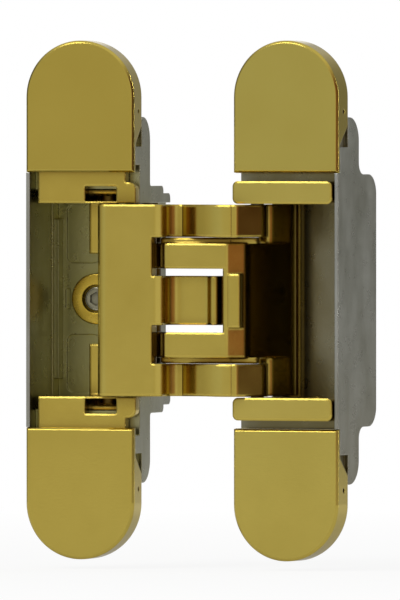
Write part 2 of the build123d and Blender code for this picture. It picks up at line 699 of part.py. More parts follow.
# Door arm: two blades joined by a cross bar, and a broad leg to the barrel
SLOPE = [
    (BLADE_RIGHT, BLADE_FRONT),
    (BAR_RIGHT - BAR_SLOPE_END[0], BAR_SLOPE_END[1]),
    (BAR_RIGHT, BLADE_BACK),
    (BAR_RIGHT, BAR_BACK),
    (BAR_LEFT, BAR_BACK),
]
BLADE = [
    (CROSS[0], CROSS[1] + HUB_R),
    CROSS,
    (BLADE_LEFT, CROSS[1]),
    (BLADE_LEFT, BLADE_FRONT),
    *SLOPE,
    (BAR_LEFT - BAR_TOE, BLADE_BACK),
    (CROSS[0] + 2 * HUB_R, BLADE_BACK),
]
BAR = [(BAR_LEFT, BLADE_FRONT), *SLOPE]
SLOPE_ROUNDS = [(SLOPE[0], BAR_ROUND), (SLOPE[1], BAR_ROUND)]
NOSE_X = (BAR_LEFT + NOSE_INSET, BAR_RIGHT - NOSE_SETBACK)
LEG_TOP = (span(BAR_LEFT, BAR_RIGHT)[0] + LEG_OFFSET, BLADE_BACK)
LEG_WEB = tuple(a + (b - a) * LEG_WEB_SHARE for a, b in zip(LEG_TOP, DOOR_PIVOT))
LEDGE_ROW = (INNER_ROW[1], OUTER_ROW[0] - LEDGE_FIT)
with BuildPart() as door_arm:
    for plane, length in cut_rows(ARM_B, INNER_ROW):
        with BuildSketch(plane):
            link(CROSS, HUB_R, FRAME_SLIDE, SLIDE_HUB_R)
            outline_of(BLADE, SLOPE_ROUNDS + [((BLADE_LEFT, BLADE_FRONT), BLADE_ROUND)])
        extrude(amount=length)
    for plane, length in cut_rows(ARM_B, LEDGE_ROW):
        with BuildSketch(plane):
            box((LEDGE_LEFT, BLADE_RIGHT), (LEDGE_FRONT, BLADE_BACK))
        extrude(amount=length)
    with BuildSketch(ARM_B):
        outline_of(BAR, SLOPE_ROUNDS + [(BAR[0], BLADE_ROUND)])
        link(LEG_TOP, LEG_R, DOOR_PIVOT, DOOR_BARREL_R)
    extrude(amount=INNER_ROW[1], both=True)
    with BuildSketch(ARM_B):
        box(NOSE_X, (BLADE_FRONT, BLADE_BACK))
    extrude(amount=MIDDLE_ROW + NOSE_FIT, both=True)
    with BuildSketch(ARM_B):
        link(LEG_WEB, LEG_R, DOOR_PIVOT, DOOR_BARREL_R)
    extrude(amount=OUTER_ROW[1], both=True)
    with BuildSketch(ARM_B):
        disc(DOOR_PIVOT, PIVOT_PIN_R + RUN_FIT)
        disc(CROSS, CROSS_PIN_R + RUN_FIT)
        disc(FRAME_SLIDE, SLIDE_PIN_R + RUN_FIT)
    extrude(amount=OUTER_ROW[1], both=True, mode=Mode.SUBTRACT)
door_arm.part.label = "door_arm"
export_step(door_arm.part, "parts/door_arm.step")


# Pins, rollers, spacers and washers
def make_pin(plane, point, radius, half):
    """Build one through pin, symmetric about the middle."""
    with BuildPart() as pin:
        with BuildSketch(plane):
            disc(point, radius)
        extrude(amount=half, both=True)
    return pin.part


def make_pair(plane, point, radius, rows, bore=0.0):
    """Build a pair of round pieces above and below the middle."""
    with BuildPart() as pair:
        for row_plane, length in cut_rows(plane, rows):
            with BuildSketch(row_plane):
                disc(point, radius)
                if bore:
                    disc(point, bore, mode=Mode.SUBTRACT)
            extrude(amount=length)
    return pair.part


DOOR_PIVOT_LOCAL = (-PIVOT_IN, PIVOT_DEPTH)
SLIDE_BORE = SLIDE_PIN_R + RUN_FIT
CROSS_BORE = CROSS_PIN_R + RUN_FIT
ROLLER_ROW = (ROLLER_START, ROLLER_END)
SPACER_ROW = (INNER_ROW[1] + WASHER_FIT, ROLLER_START - WASHER_FIT)
INNER_WASHER_ROW = (MIDDLE_ROW + WASHER_FIT, INNER_ROW[0] - WASHER_FIT)
OUTER_WASHER_ROW = (INNER_ROW[1] + WASHER_FIT, OUTER_ROW[0] - WASHER_FIT)
ADJUST_ROW = (POCKET_HALF["door"], POCKET_HALF["door"] + ADJUST_LENGTH)
ROUND_PIECES = {
    "frame_pivot_pin": make_pin(FRAME_LEAF, FRAME_PIVOT, PIVOT_PIN_R, PIN_END),
    "door_pivot_pin": make_pin(DOOR_LEAF, DOOR_PIVOT_LOCAL, PIVOT_PIN_R, PIN_END),
    "cross_pin": make_pin(ARM_A, CROSS, CROSS_PIN_R, OUTER_ROW[1]),
    "frame_slide_pins": make_pair(ARM_B, FRAME_SLIDE, SLIDE_PIN_R, (INNER_ROW[0], ROLLER_END)),
    "frame_slide_rollers": make_pair(ARM_B, FRAME_SLIDE, ROLLER_R, ROLLER_ROW, SLIDE_BORE),
    "frame_slide_spacers": make_pair(ARM_B, FRAME_SLIDE, SPACER_R, SPACER_ROW, SLIDE_BORE),
    "door_slide_pins": make_pair(ARM_A, DOOR_SLIDE, SLIDE_PIN_R, (OUTER_ROW[0], ROLLER_END)),
    "door_slide_rollers": make_pair(ARM_A, DOOR_SLIDE, ROLLER_R, ROLLER_ROW, SLIDE_BORE),
    "inner_cross_washers": make_pair(ARM_A, CROSS, HUB_R, INNER_WASHER_ROW, CROSS_BORE),
    "outer_cross_washers": make_pair(ARM_A, CROSS, HUB_R, OUTER_WASHER_ROW, CROSS_BORE),
    "door_height_screws": make_pair(DOOR_LEAF, (ADJUST_X, ADJUST_Y), ADJUST_R, ADJUST_ROW),
}
for piece_name, piece in ROUND_PIECES.items():
    piece.label = piece_name
    export_step(piece, "parts/" + piece_name + ".step")

# Clamp screw, sunk in a collar that holds the frame carriage on the pocket floor
COLLAR_BACK = BASE_TOP - CLAMP_SEAT_GAP
COLLAR_FRONT = COLLAR_BACK - CLAMP_COLLAR
HEAD_BACK = COLLAR_FRONT + CLAMP_BORE
HEAD_FRONT = HEAD_BACK - CLAMP_HEAD


def clamp_disc(radius, front, back, mode=Mode.ADD):
    """Add or cut a round of the clamp between two depths of the frame leaf."""
    with BuildSketch(face_plane(FRAME_LEAF, front)) as ring:
        disc((CLAMP_X, 0), radius)
    extrude(ring.sketch, amount=-(back - front), mode=mode)


with BuildPart() as clamp_washer:
    clamp_disc(CLAMP_COLLAR_R, COLLAR_FRONT, COLLAR_BACK)
    clamp_disc(CLAMP_BORE_R, COLLAR_FRONT, HEAD_BACK, mode=Mode.SUBTRACT)
    clamp_disc(CLAMP_SHANK_R + RUN_FIT, HEAD_BACK, COLLAR_BACK, mode=Mode.SUBTRACT)
clamp_washer.part.label = "clamp_washer"
export_step(clamp_washer.part, "parts/clamp_washer.step")

with BuildPart() as clamp_screw:
    clamp_disc(CLAMP_HEAD_R, HEAD_FRONT, HEAD_BACK)
    clamp_disc(CLAMP_SHANK_R, HEAD_BACK, POCKET_DEPTH + CLAMP_BITE)
    with BuildSketch(face_plane(FRAME_LEAF, HEAD_FRONT)):
        with Locations((CLAMP_X, 0)):
            RegularPolygon(CLAMP_HEX, 6)
    extrude(amount=-CLAMP_HEX_DEPTH, mode=Mode.SUBTRACT)
clamp_screw.part.label = "clamp_screw"
export_step(clamp_screw.part, "parts/clamp_screw.step")
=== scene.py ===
"""Studio scene of a concealed door hinge: gold plated arms and covers on raw zinc castings."""

import json
import logging
from dataclasses import dataclass, replace
from enum import Enum
from math import cos, pi, radians, sin
from typing import Any, Callable

import bmesh
import bpy
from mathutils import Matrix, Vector

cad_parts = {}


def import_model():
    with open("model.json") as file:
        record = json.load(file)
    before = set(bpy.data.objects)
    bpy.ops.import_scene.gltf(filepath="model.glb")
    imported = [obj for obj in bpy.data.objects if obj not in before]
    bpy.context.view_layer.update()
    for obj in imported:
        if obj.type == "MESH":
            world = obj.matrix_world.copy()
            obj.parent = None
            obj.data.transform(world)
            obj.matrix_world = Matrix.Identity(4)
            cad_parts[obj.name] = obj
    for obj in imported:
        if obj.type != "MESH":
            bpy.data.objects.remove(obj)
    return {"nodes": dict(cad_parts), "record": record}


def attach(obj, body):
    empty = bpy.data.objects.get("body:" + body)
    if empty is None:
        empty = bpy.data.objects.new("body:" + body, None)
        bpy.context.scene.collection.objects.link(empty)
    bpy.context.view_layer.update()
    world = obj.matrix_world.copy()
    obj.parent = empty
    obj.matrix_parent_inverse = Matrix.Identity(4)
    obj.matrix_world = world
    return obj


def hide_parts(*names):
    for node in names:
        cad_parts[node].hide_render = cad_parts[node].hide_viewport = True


frame: dict[str, Any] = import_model()

LOG = logging.getLogger("hinge")
MM = 0.001

# Edges that turn by more than this stay sharp
SMOOTH_ANGLE = radians(35)
# Points of a turned skin that lie nearer than this are one
MERGE_MM = 0.002
# Octaves of the noise behind the tones, the gloss and the relief
TONE_DETAIL, HAZE_DETAIL, GRAIN_DETAIL = 4.0, 3.0, 4.0
# Rays that look for recesses and for edges
SHADER_RAYS = 6
# The colour sockets of a Mix node: its two inputs and its output
MIX_A, MIX_B, MIX_OUT = 6, 7, 2


def linear(code: str) -> tuple[float, float, float, float]:
    """Turn an sRGB hex colour into linear light, by the standard's own curve.

    Args:
        code: A hash and six hex digits.

    Returns:
        Red, green, blue and an alpha of one.
    """
    shares = [int(code[i : i + 2], 16) / 255 for i in (1, 3, 5)]
    light = [s / 12.92 if s <= 0.04045 else ((s + 0.055) / 1.055) ** 2.4 for s in shares]
    return light[0], light[1], light[2], 1.0


def per_mm(size: float) -> float:
    """Return the texture scale whose pattern repeats about every size millimetres."""
    return 1 / (size * MM)


def blank_tree(owner: bpy.types.Material | bpy.types.World) -> bpy.types.NodeTree:
    """Switch on the nodes of a material or of the world, and clear them.

    Args:
        owner: The material or world.

    Returns:
        Its empty node tree.
    """
    owner.use_nodes = True
    owner.node_tree.nodes.clear()
    return owner.node_tree


def add_node(
    tree: bpy.types.NodeTree, kind: str, inputs: dict[Any, Any] | None = None, **settings: Any
) -> bpy.types.Node:
    """Add a shader node, set it up and feed its sockets.

    Args:
        tree: Node tree that gets the node.
        kind: Blender's name of the node type.
        inputs: Socket name or number to a value, or to the socket that feeds it.
        settings: Properties of the node itself.

    Returns:
        The new node.
    """
    node = tree.nodes.new(kind)
    for name, value in settings.items():
        setattr(node, name, value)
    for socket, value in (inputs or {}).items():
        if isinstance(value, bpy.types.NodeSocket):
            tree.links.new(value, node.inputs[socket])
        else:
            node.inputs[socket].default_value = value
    return node


@dataclass(frozen=True)
class Finish:
    """A metal surface: two tones that drift, a gloss that drifts and a fine relief.

    Values ending in _mm are real sizes: of the tone patches, of the haze patches in the gloss,
    of the grain, of the relief's height, of the softened edges, and of how far into a recess
    the painted shade reaches. The painted shade tone is mixed in where ambient occlusion finds
    a recess. Gloss is the lowest and highest roughness. Flow is how many
    times as tall as wide the tone patches are.
    """

    name: str
    light_tone: str
    dark_tone: str
    tone_mm: float
    gloss: tuple[float, float]
    haze_mm: float
    grain_mm: float
    relief_mm: float
    edge_mm: float
    # Painted shade: the tone mixed into recesses, and how far into them it reaches
    painted_shade_tone: str
    painted_shade_mm: float
    flow: float = 1.0
    metallic: float = 1.0

    def build(self) -> bpy.types.Material:
        """Build the material.

        Returns:
            The finished material.
        """
        material = bpy.data.materials.new(self.name)
        tree = blank_tree(material)
        place = add_node(tree, "ShaderNodeTexCoord").outputs["Object"]
        drawn = add_node(
            tree,
            "ShaderNodeVectorMath",
            {0: place, 1: (1.0, 1.0, 1.0 / self.flow)},
            operation="MULTIPLY",
        )
        drift = add_node(
            tree,
            "ShaderNodeTexNoise",
            {
                "Vector": drawn.outputs["Vector"],
                "Scale": per_mm(self.tone_mm),
                "Detail": TONE_DETAIL,
            },
        )
        tone = add_node(
            tree,
            "ShaderNodeMix",
            {
                "Factor": drift.outputs["Fac"],
                MIX_A: linear(self.light_tone),
                MIX_B: linear(self.dark_tone),
            },
            data_type="RGBA",
        )
        haze = add_node(
            tree,
            "ShaderNodeTexNoise",
            {"Vector": place, "Scale": per_mm(self.haze_mm), "Detail": HAZE_DETAIL},
        )
        gloss = add_node(
            tree,
            "ShaderNodeMapRange",
            {"Value": haze.outputs["Fac"], "To Min": self.gloss[0], "To Max": self.gloss[1]},
        )
        grain = add_node(
            tree,
            "ShaderNodeTexNoise",
            {"Vector": place, "Scale": per_mm(self.grain_mm), "Detail": GRAIN_DETAIL},
        )
        # Painted shade: ambient occlusion mixes the painted shade tone into recesses
        shade_mask = add_node(
            tree,
            "ShaderNodeAmbientOcclusion",
            {"Distance": self.painted_shade_mm * MM},
            samples=SHADER_RAYS,
        )
        shaded_tone = add_node(
            tree,
            "ShaderNodeMix",
            {
                "Factor": shade_mask.outputs["AO"],
                MIX_A: linear(self.painted_shade_tone),
                MIX_B: tone.outputs[MIX_OUT],
            },
            data_type="RGBA",
        )
        edge = add_node(
            tree, "ShaderNodeBevel", {"Radius": self.edge_mm * MM}, samples=SHADER_RAYS
        )
        relief = add_node(
            tree,
            "ShaderNodeBump",
            {
                "Height": grain.outputs["Fac"],
                "Distance": self.relief_mm * MM,
                "Normal": edge.outputs["Normal"],
            },
        )
        shader = add_node(
            tree,
            "ShaderNodeBsdfPrincipled",
            {
                "Base Color": shaded_tone.outputs[MIX_OUT],
                "Metallic": self.metallic,
                "Roughness": gloss.outputs["Result"],
                "Normal": relief.outputs["Normal"],
            },
        )
        add_node(tree, "ShaderNodeOutputMaterial", {"Surface": shader.outputs["BSDF"]})
        return material


class Slot(Enum):
    """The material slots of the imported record."""

    GOLD_PLATE = "gold_plate"
    GOLD_COVER = "gold_cover"
    RAW_ZINC = "raw_zinc"
    STEEL_PIN = "steel_pin"
    BRASS_WASHER = "brass_washer"
    STEEL_SCREW = "steel_screw"
    ROLLER = "roller"


# The real grain of plating, grinding and turning is finer than 0.1 mm. It is drawn at 0.25 mm
# and more, because anything finer doesn't show at this size of picture.
FINISHES: dict[Slot, Finish] = {
    # Zinc die casting, polished and gold plated: a mirror with a faint orange-peel haze,
    # with painted brown shade in the corners and recesses
    Slot.GOLD_PLATE: Finish(
        name="gold_plated_casting",
        light_tone="#CAB459",
        dark_tone="#BBA44B",
        tone_mm=9.0,
        gloss=(0.08, 0.16),
        haze_mm=5.0,
        grain_mm=0.5,
        relief_mm=0.0016,
        edge_mm=0.8,
        painted_shade_tone="#644412",
        painted_shade_mm=4.0,
    ),
    # Pressed covers under the same plating: flatter, with a slightly silkier polish
    Slot.GOLD_COVER: Finish(
        name="gold_plated_cover",
        light_tone="#C4B056",
        dark_tone="#B9A44C",
        tone_mm=14.0,
        gloss=(0.12, 0.19),
        haze_mm=7.0,
        grain_mm=0.5,
        relief_mm=0.003,
        edge_mm=0.3,
        # Painted shade in the covers' recesses
        painted_shade_tone="#8A6C2C",
        painted_shade_mm=1.5,
    ),
    # Zinc die casting as it left the mould: grey, softly dull, with a fine crust of grain,
    # and painted shade in the pockets, tinted olive as a painted reflection of the gold parts
    Slot.RAW_ZINC: Finish(
        name="raw_die_cast_zinc",
        light_tone="#B4B4AE",
        dark_tone="#747364",
        tone_mm=5.0,
        gloss=(0.22, 0.36),
        haze_mm=3.5,
        grain_mm=0.8,
        relief_mm=0.02,
        edge_mm=0.3,
        painted_shade_tone="#9A9452",
        painted_shade_mm=30.0,
        flow=3.0,
    ),
    # Ground steel pins: bright and even
    Slot.STEEL_PIN: Finish(
        name="ground_steel",
        light_tone="#C2C3C2",
        dark_tone="#ACADAC",
        tone_mm=4.0,
        gloss=(0.2, 0.32),
        haze_mm=2.0,
        grain_mm=0.3,
        relief_mm=0.002,
        edge_mm=0.15,
        # Painted shade in the pins' recesses
        painted_shade_tone="#5A5850",
        painted_shade_mm=3.0,
    ),
    # Turned brass: warm, with fine tool marks that haze the gloss
    Slot.BRASS_WASHER: Finish(
        name="turned_brass",
        light_tone="#CBAE4A",
        dark_tone="#B59A3A",
        tone_mm=3.0,
        gloss=(0.2, 0.36),
        haze_mm=1.2,
        grain_mm=0.25,
        relief_mm=0.003,
        edge_mm=0.15,
        # Painted shade in the washers' recesses
        painted_shade_tone="#7A6420",
        painted_shade_mm=2.0,
    ),
    # Zinc plated steel: grey, slightly hazed, with painted dark shade in the socket
    Slot.STEEL_SCREW: Finish(
        name="zinc_plated_steel",
        light_tone="#A8A593",
        dark_tone="#78755F",
        tone_mm=2.5,
        gloss=(0.16, 0.3),
        haze_mm=1.0,
        grain_mm=0.25,
        relief_mm=0.003,
        edge_mm=0.15,
        painted_shade_tone="#2A2716",
        painted_shade_mm=2.5,
    ),
    # Turned bronze bushes and rollers: darker than brass and a little dull
    Slot.ROLLER: Finish(
        name="turned_bronze",
        light_tone="#8C7238",
        dark_tone="#6E5728",
        tone_mm=3.0,
        gloss=(0.28, 0.4),
        haze_mm=1.5,
        grain_mm=0.3,
        relief_mm=0.003,
        edge_mm=0.15,
        # Painted shade in the rollers' recesses
        painted_shade_tone="#4A3814",
        painted_shade_mm=3.0,
    ),
}

# The door leaf's pocket holds the rollers, and gets a deeper, browner painted shade reaching far in
POCKET_SHADE_FINISHES: dict[str, Finish] = {
    "door_body": replace(
        FINISHES[Slot.RAW_ZINC], name="zinc_with_painted_pocket_shade", painted_shade_tone="#6A5E2A", painted_shade_mm=60.0
    )
}


@dataclass
class Wardrobe:
    """Holds the built materials and hands them to nodes and pieces."""

    materials: dict[Slot, bpy.types.Material]
    slots: dict[str, Slot]
    bodies: dict[str, str]

    @classmethod
    def from_record(cls) -> "Wardrobe":
        """Build every finish and read which slot and body each node has.

        Returns:
            The filled wardrobe.
        """
        record = frame["record"]
        return cls(
            {slot: finish.build() for slot, finish in FINISHES.items()},
            {row["node"]: Slot(row["material_slot"]) for row in record["subparts"]},
            {node: body for body, nodes in record["behaviour"]["bodies"].items() for node in nodes},
        )

    def dress_nodes(self) -> None:
        """Give every CAD node the material of its slot, and the door leaf's body its deeper painted
        pocket shade.
        """
        pocket_shaded = {name: finish.build() for name, finish in POCKET_SHADE_FINISHES.items()}
        for name, node in frame["nodes"].items():
            for place in node.material_slots:
                place.material = pocket_shaded.get(name, self.materials[self.slots[name]])

    def dress_piece(self, piece: bpy.types.Object, node: str) -> None:
        """Let a piece stand for a CAD node: its finish, its body and its place.

        Args:
            piece: The finished piece.
            node: The CAD node that it replaces.
        """
        self.dress_addition(piece, node)
        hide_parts(node)
        LOG.info("%s stands for %s", piece.name, node)

    def dress_addition(self, piece: bpy.types.Object, node: str) -> None:
        """Give a piece the finish and the body of a CAD node.

        Args:
            piece: The finished piece.
            node: The CAD node that it belongs to.
        """
        slot = self.slots[node]
        piece.data.materials.clear()
        piece.data.materials.append(self.materials[slot])
        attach(piece, self.bodies[node])
        LOG.info("%s rides with %s in %s", piece.name, node, slot.value)


class Pick(Enum):
    """What is selected by place in edit mode."""

    CORNERS = "VERT"
    FACES = "FACE"


def select_only(piece: bpy.types.Object) -> None:
    """Deselect everything, then select one piece and make it active.

    Args:
        piece: The piece to select.
    """
    bpy.ops.object.select_all(action="DESELECT")
    piece.select_set(True)
    bpy.context.view_layer.objects.active = piece


def choose(piece: bpy.types.Object, mode: Pick, test: Callable[[Vector], bool]) -> None:
    """Select a piece's vertices or faces by their place, in edit mode.

    Args:
        piece: The piece that is being edited.
        mode: What to select.
        test: Says of a place in millimetres whether it is wanted.
    """
    bpy.ops.mesh.select_mode(type=mode.value)
    bpy.ops.mesh.select_all(action="DESELECT")
    shape = bmesh.from_edit_mesh(piece.data)
    if mode is Pick.CORNERS:
        for corner in shape.verts:
            corner.select_set(test(corner.co / MM))
    else:
        for face in shape.faces:
            face.select_set(test(face.calc_center_median() / MM))
    shape.select_flush_mode()
    bmesh.update_edit_mesh(piece.data)


@dataclass
class ClampSet:
    """The clamp in the frame leaf's pocket: a turned collar and a socket screw sunk in it.

    Depths run from the leaf's face into it, and radii from the clamp's axis.
    """

    x_mm: float = -2.0
    collar_front_mm: float = 17.15
    collar_back_mm: float = 19.05
    seat_mm: float = 18.45
    collar_r_mm: float = 5.4
    bore_r_mm: float = 2.95
    hole_r_mm: float = 1.63
    shank_r_mm: float = 1.6
    shank_end_mm: float = 22.2
    head_front_mm: float = 17.35
    head_r_mm: float = 2.6
    dish_r_mm: float = 2.05
    dish_mm: float = 0.2
    socket_sides: int = 6
    socket_r_mm: float = 1.5
    socket_depth_mm: float = 0.8
    edge_mm: float = 0.35
    lip_mm: float = 0.2
    pick_mm: float = 0.025
    edge_steps: int = 4
    turn_steps: int = 72

    def section(
        self, name: str, radii: tuple[float, float], depths: tuple[float, float]
    ) -> bpy.types.Object:
        """Add a plane on the clamp's axis as the section of a turned piece.

        Args:
            name: Name of the piece.
            radii: Its inner and outer radius.
            depths: Depth of its front and back.

        Returns:
            The section, in edit mode.
        """
        bpy.ops.object.select_all(action="DESELECT")
        bpy.ops.mesh.primitive_plane_add(size=1.0)
        piece = bpy.context.object
        piece.name = name
        bpy.ops.object.mode_set(mode="EDIT")
        bpy.ops.mesh.select_all(action="SELECT")
        size = ((radii[1] - radii[0]) * MM, (depths[1] - depths[0]) * MM, 1.0)
        bpy.ops.transform.resize(value=size)
        middle = Vector((self.x_mm + sum(radii) / 2, sum(depths) / 2, 0)) * MM
        bpy.ops.transform.translate(value=middle)
        return piece

    def cut_step(
        self, piece: bpy.types.Object, radius: float, depth: float, test: Callable[[Vector], bool]
    ) -> None:
        """Divide the section at a radius and at a depth, and cut one quarter out of it.

        Args:
            piece: The section.
            radius: Radius of the step.
            depth: Depth of the step.
            test: Says of a quarter's middle in millimetres whether it is cut out.
        """
        place = Vector((self.x_mm + radius, depth, 0)) * MM
        for across in ((1, 0, 0), (0, 1, 0)):
            bpy.ops.mesh.select_all(action="SELECT")
            bpy.ops.mesh.bisect(plane_co=place, plane_no=across)
        choose(piece, Pick.FACES, test)
        bpy.ops.mesh.delete(type="FACE")
        bpy.ops.mesh.select_all(action="SELECT")
        bpy.ops.mesh.dissolve_faces()

    def soften(self, piece: bpy.types.Object, radius: float, depth: float, size: float) -> None:
        """Round one corner of the section.

        Args:
            piece: The section.
            radius: The corner's radius on the clamp.
            depth: The corner's depth.
            size: Size of the rounding.
        """
        corner = Vector((self.x_mm + radius, depth, 0))
        choose(piece, Pick.CORNERS, lambda place: (place - corner).length < self.pick_mm)
        bpy.ops.mesh.bevel(offset=size * MM, segments=self.edge_steps, affect="VERTICES")

    def turn(self) -> None:
        """Spin the section's outline about the clamp's axis and close the turned skin."""
        bpy.ops.mesh.select_mode(type="FACE")
        bpy.ops.mesh.select_all(action="SELECT")
        bpy.ops.mesh.delete(type="ONLY_FACE")
        bpy.ops.mesh.select_mode(type="EDGE")
        bpy.ops.mesh.select_all(action="SELECT")
        centre = Vector((self.x_mm, 0, 0)) * MM
        bpy.ops.mesh.spin(steps=self.turn_steps, angle=2 * pi, center=centre, axis=(0, 1, 0))
        bpy.ops.mesh.select_all(action="SELECT")
        bpy.ops.mesh.remove_doubles(threshold=MERGE_MM * MM)
        bpy.ops.mesh.delete_loose()
        bpy.ops.mesh.select_all(action="SELECT")
        bpy.ops.mesh.normals_make_consistent(inside=False)
        bpy.ops.object.mode_set(mode="OBJECT")

    def build_collar(self) -> bpy.types.Object:
        """Turn the collar: a thick ring with a counterbore and softened rims.

        Returns:
            The collar.
        """
        piece = self.section(
            "clamp_collar",
            (self.hole_r_mm, self.collar_r_mm),
            (self.collar_front_mm, self.collar_back_mm),
        )
        bore = self.x_mm + self.bore_r_mm
        self.cut_step(
            piece,
            self.bore_r_mm,
            self.seat_mm,
            lambda place: place.x < bore and place.y < self.seat_mm,
        )
        self.soften(piece, self.collar_r_mm, self.collar_front_mm, self.edge_mm)
        self.soften(piece, self.bore_r_mm, self.collar_front_mm, self.lip_mm)
        self.turn()
        bpy.ops.object.shade_smooth_by_angle(angle=SMOOTH_ANGLE)
        return piece

    def build_screw(self) -> bpy.types.Object:
        """Turn the screw with its dished head and cut the hexagon socket.

        Returns:
            The screw.
        """
        piece = self.section(
            "clamp_socket_screw", (0.0, self.head_r_mm), (self.head_front_mm, self.shank_end_mm)
        )
        shank = self.x_mm + self.shank_r_mm
        self.cut_step(
            piece,
            self.shank_r_mm,
            self.seat_mm,
            lambda place: place.x > shank and place.y > self.seat_mm,
        )
        self.soften(piece, self.head_r_mm, self.head_front_mm, self.edge_mm)
        self.turn()
        bpy.ops.object.mode_set(mode="EDIT")
        choose(piece, Pick.FACES, lambda place: place.y < self.head_front_mm + self.pick_mm)
        bpy.ops.mesh.dissolve_faces()
        bpy.ops.mesh.inset(thickness=(self.head_r_mm - self.edge_mm - self.dish_r_mm) * MM)
        bpy.ops.mesh.extrude_region_move(
            TRANSFORM_OT_translate={"value": (0, self.dish_mm * MM, 0)}
        )
        bpy.ops.object.mode_set(mode="OBJECT")
        self.cut_socket(piece)
        select_only(piece)
        bpy.ops.object.shade_smooth_by_angle(angle=SMOOTH_ANGLE)
        return piece

    def cut_socket(self, screw: bpy.types.Object) -> None:
        """Cut the hexagon socket into the screw's head.

        Args:
            screw: The turned screw.
        """
        bpy.ops.object.select_all(action="DESELECT")
        bpy.ops.mesh.primitive_cylinder_add(
            vertices=self.socket_sides,
            radius=self.socket_r_mm * MM,
            depth=2 * self.socket_depth_mm * MM,
            location=Vector((self.x_mm, self.head_front_mm, 0)) * MM,
            rotation=(pi / 2, 0, 0),
        )
        cutter = bpy.context.object
        select_only(screw)
        socket = screw.modifiers.new("socket", "BOOLEAN")
        socket.object = cutter
        bpy.ops.object.modifier_apply(modifier=socket.name)
        bpy.data.objects.remove(cutter)

    def build(self, wardrobe: Wardrobe) -> None:
        """Build the collar and the screw in place of their CAD nodes."""
        wardrobe.dress_piece(self.build_collar(), "clamp_washer")
        wardrobe.dress_piece(self.build_screw(), "clamp_screw")


class Arm(Enum):
    """An arm, by its turn in degrees from the flat drawing to the hinge at rest."""

    FRAME = -2.8757
    DOOR = -3.0383


@dataclass
class ArmFitting:
    """A pair of pieces on one arm, drawn with the hinge opened flat.

    The arms turn about the cross pin, which moves from its drawn place to its place at rest.
    """

    x_mm: tuple[float, float]
    y_mm: tuple[float, float]
    z_mm: tuple[float, float]
    cross_mm: tuple[float, float] = (15.0, 3.0)
    cross_rest_mm: tuple[float, float] = (14.3885, 2.6388)

    def start(self, name: str) -> bpy.types.Object:
        """Add the upper piece's block at its drawn size and place.

        Args:
            name: Name of the piece.

        Returns:
            The block, in edit mode.
        """
        bpy.ops.object.select_all(action="DESELECT")
        bpy.ops.mesh.primitive_cube_add(size=1.0)
        piece = bpy.context.object
        piece.name = name
        bpy.ops.object.mode_set(mode="EDIT")
        bpy.ops.mesh.select_all(action="SELECT")
        spans = (self.x_mm, self.y_mm, self.z_mm)
        bpy.ops.transform.resize(value=[(high - low) * MM for low, high in spans])
        middle = Vector([sum(limits) / 2 for limits in spans])
        bpy.ops.transform.translate(value=middle * MM)
        return piece

    def seat(self, arm: Arm) -> None:
        """Turn the shaped piece with its arm and leave edit mode.

        Args:
            arm: The arm that it sits on.
        """
        bpy.ops.mesh.select_all(action="SELECT")
        bpy.ops.transform.rotate(
            value=-radians(arm.value),
            orient_axis="Z",
            center_override=Vector((*self.cross_mm, 0)) * MM,
        )
        shift = Vector(self.cross_rest_mm) - Vector(self.cross_mm)
        bpy.ops.transform.translate(value=Vector((*shift, 0)) * MM)
        bpy.ops.object.mode_set(mode="OBJECT")
        bpy.ops.object.shade_smooth_by_angle(angle=SMOOTH_ANGLE)

    def copy_down(self, upper: bpy.types.Object, name: str) -> bpy.types.Object:
        """Copy the upper piece to the lower half of the hinge.

        Args:
            upper: The finished upper piece.
            name: Name of the copy.

        Returns:
            The copy, with a mesh of its own.
        """
        select_only(upper)
        bpy.ops.object.duplicate()
        lower = bpy.context.object
        lower.name = name
        bpy.ops.object.mode_set(mode="EDIT")
        bpy.ops.mesh.select_all(action="SELECT")
        bpy.ops.transform.translate(value=(0, 0, -sum(self.z_mm) * MM))
        bpy.ops.object.mode_set(mode="OBJECT")
        return lower


@dataclass
class SeamStrips(ArmFitting):
    """Two strips on the door arm that close the seams beside the outer fingers."""

    x_mm: tuple[float, float] = (18.6, 34.0)
    y_mm: tuple[float, float] = (1.8, 3.8)
    z_mm: tuple[float, float] = (12.0, 13.34)
    tail_mm: tuple[float, float] = (5.4, 1.5)
    edge_mm: float = 0.08
    edge_steps: int = 2

    def build(self, wardrobe: Wardrobe) -> None:
        """Build the strips: bars along the blades whose tails slant back behind the cross bar.

        Args:
            wardrobe: Gives the strips the door arm's finish and body.
        """
        upper = self.start("seam_strip_upper")
        choose(upper, Pick.FACES, lambda place: place.x > self.x_mm[1] - self.edge_mm)
        bpy.ops.mesh.extrude_region_move(
            TRANSFORM_OT_translate={"value": Vector((*self.tail_mm, 0)) * MM}
        )
        bpy.ops.mesh.select_all(action="SELECT")
        bpy.ops.mesh.bevel(offset=self.edge_mm * MM, segments=self.edge_steps, affect="EDGES")
        self.seat(Arm.DOOR)
        for piece in (upper, self.copy_down(upper, "seam_strip_lower")):
            wardrobe.dress_addition(piece, "door_arm")


